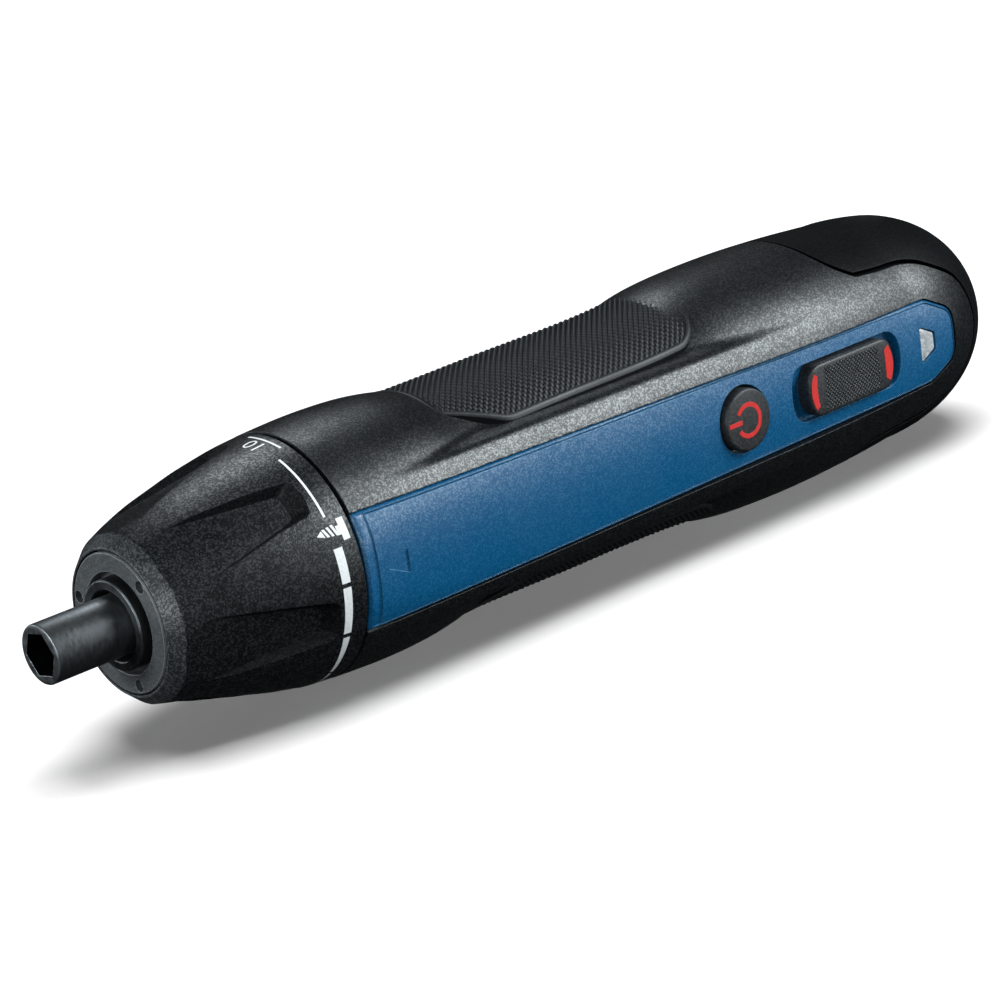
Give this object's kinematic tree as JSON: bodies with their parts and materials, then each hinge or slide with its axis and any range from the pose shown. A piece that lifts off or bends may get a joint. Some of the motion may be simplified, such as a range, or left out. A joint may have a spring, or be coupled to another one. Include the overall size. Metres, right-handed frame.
{
  "type": "electric screwdriver",
  "caption": "Straight electric screwdriver: fluted torque collar, hex bit socket, side panel with button and slider, grip pads, and a geared motor and cell inside.",
  "frame": {"origin": "under the middle of the belly, where the tool lies on a table", "axes": "+X from the bit socket to the tail along the spindle's axis, -Y out of the control panel, +Z out of the upper grip pad"},
  "size_m": [0.202, 0.0409, 0.0422],
  "materials": {
    "housing_plastic": "textured",
    "cover_plastic": "fine texture",
    "panel_blue": "metallic speckle",
    "grip_rubber": "ribbed",
    "collar_plastic": "textured",
    "key_black": "satin",
    "window_clear": "frosted",
    "spindle_steel": "black oxide",
    "bush_steel": "sintered",
    "gear_steel": "ground",
    "case_plastic": "moulded",
    "motor_steel": "plated",
    "ferrite": "fired",
    "cell_wrap": "shrink wrap",
    "contact_nickel": "nickel",
    "board_green": "solder mask",
    "switch_black": "moulded"
  },
  "bodies": {
    "body": {"housing": "housing_plastic", "tail_cover": "cover_plastic", "grip_pad_top": "grip_rubber", "grip_pad_bottom": "grip_rubber", "side_panel": "panel_blue", "back_panel": "panel_blue", "led_window": "window_clear", "nose_ring": "collar_plastic", "front_bush": "bush_steel", "thrust_washer": "bush_steel", "gearbox_housing": "case_plastic", "ring_gear": "gear_steel", "output_bearing": "bush_steel", "collar_detent_spring": "gear_steel", "motor_plate": "gear_steel", "motor_screws": "gear_steel", "motor_can": "motor_steel", "motor_magnet_upper": "ferrite", "motor_magnet_lower": "ferrite", "motor_end_cap": "case_plastic", "battery_cell": "cell_wrap", "cell_cradle": "case_plastic", "front_contact": "contact_nickel", "rear_contact": "contact_nickel", "circuit_board": "board_green", "tact_switch": "switch_black", "slide_switch": "switch_black", "led_lamp": "switch_black", "usb_board": "board_green", "usb_receptacle": "contact_nickel"},
    "collar": {"torque_collar": "collar_plastic"},
    "button": {"power_button": "key_black"},
    "slider": {"direction_slider": "key_black", "slide_switch_lever": "switch_black"},
    "output": {"output_carrier": "gear_steel", "spindle": "spindle_steel", "bit_magnet": "motor_steel"},
    "first_stage": {"first_carrier": "gear_steel"},
    "armature": {"rotor": "motor_steel", "motor_pinion": "gear_steel"},
    "output_planet_1": {"output_planet_1": "gear_steel"},
    "output_planet_2": {"output_planet_2": "gear_steel"},
    "output_planet_3": {"output_planet_3": "gear_steel"},
    "input_planet_1": {"input_planet_1": "gear_steel"},
    "input_planet_2": {"input_planet_2": "gear_steel"},
    "input_planet_3": {"input_planet_3": "gear_steel"}
  },
  "joints": [
    {"name": "collar_turn", "type": "hinge", "parent": "body", "child": "collar", "pos_m": [0, 0, 0.0206], "axis": [1, 0, 0], "range_deg": [-75, 75]},
    {"name": "button_press", "type": "slide", "parent": "body", "child": "button", "axis": [0, 1, 0], "range_m": [0, 0.0006], "stiffness_N_per_m": 1500, "springref_m": -0.0002},
    {"name": "slider_shift", "type": "slide", "parent": "body", "child": "slider", "axis": [1, 0, 0], "range_m": [-0.0025, 0.0025]},
    {"name": "rotor_spin", "type": "hinge", "parent": "body", "child": "armature", "pos_m": [0, 0, 0.0206], "axis": [1, 0, 0], "continuous": true},
    {"name": "first_stage_spin", "type": "hinge", "parent": "body", "child": "first_stage", "pos_m": [0, 0, 0.0206], "axis": [1, 0, 0], "continuous": true},
    {"name": "spindle_spin", "type": "hinge", "parent": "body", "child": "output", "pos_m": [0, 0, 0.0206], "axis": [1, 0, 0], "continuous": true},
    {"name": "output_planet_1_spin", "type": "hinge", "parent": "output", "child": "output_planet_1", "pos_m": [0, 0.00675, 0.0206], "axis": [1, 0, 0], "continuous": true},
    {"name": "output_planet_2_spin", "type": "hinge", "parent": "output", "child": "output_planet_2", "pos_m": [0, -0.00337, 0.02645], "axis": [1, 0, 0], "continuous": true},
    {"name": "output_planet_3_spin", "type": "hinge", "parent": "output", "child": "output_planet_3", "pos_m": [0, -0.00337, 0.01475], "axis": [1, 0, 0], "continuous": true},
    {"name": "input_planet_1_spin", "type": "hinge", "parent": "first_stage", "child": "input_planet_1", "pos_m": [0, 0.00675, 0.0206], "axis": [1, 0, 0], "continuous": true},
    {"name": "input_planet_2_spin", "type": "hinge", "parent": "first_stage", "child": "input_planet_2", "pos_m": [0, -0.00337, 0.02645], "axis": [1, 0, 0], "continuous": true},
    {"name": "input_planet_3_spin", "type": "hinge", "parent": "first_stage", "child": "input_planet_3", "pos_m": [0, -0.00337, 0.01475], "axis": [1, 0, 0], "continuous": true}
  ],
  "couplings": [
    {"joint": "first_stage_spin", "follows": "rotor_spin", "ratio": 0.16667},
    {"joint": "spindle_spin", "follows": "rotor_spin", "ratio": 0.027778},
    {"joint": "output_planet_1_spin", "follows": "rotor_spin", "ratio": -0.069444},
    {"joint": "output_planet_2_spin", "follows": "rotor_spin", "ratio": -0.069444},
    {"joint": "output_planet_3_spin", "follows": "rotor_spin", "ratio": -0.069444},
    {"joint": "input_planet_1_spin", "follows": "rotor_spin", "ratio": -0.41667},
    {"joint": "input_planet_2_spin", "follows": "rotor_spin", "ratio": -0.41667},
    {"joint": "input_planet_3_spin", "follows": "rotor_spin", "ratio": -0.41667}
  ]
}
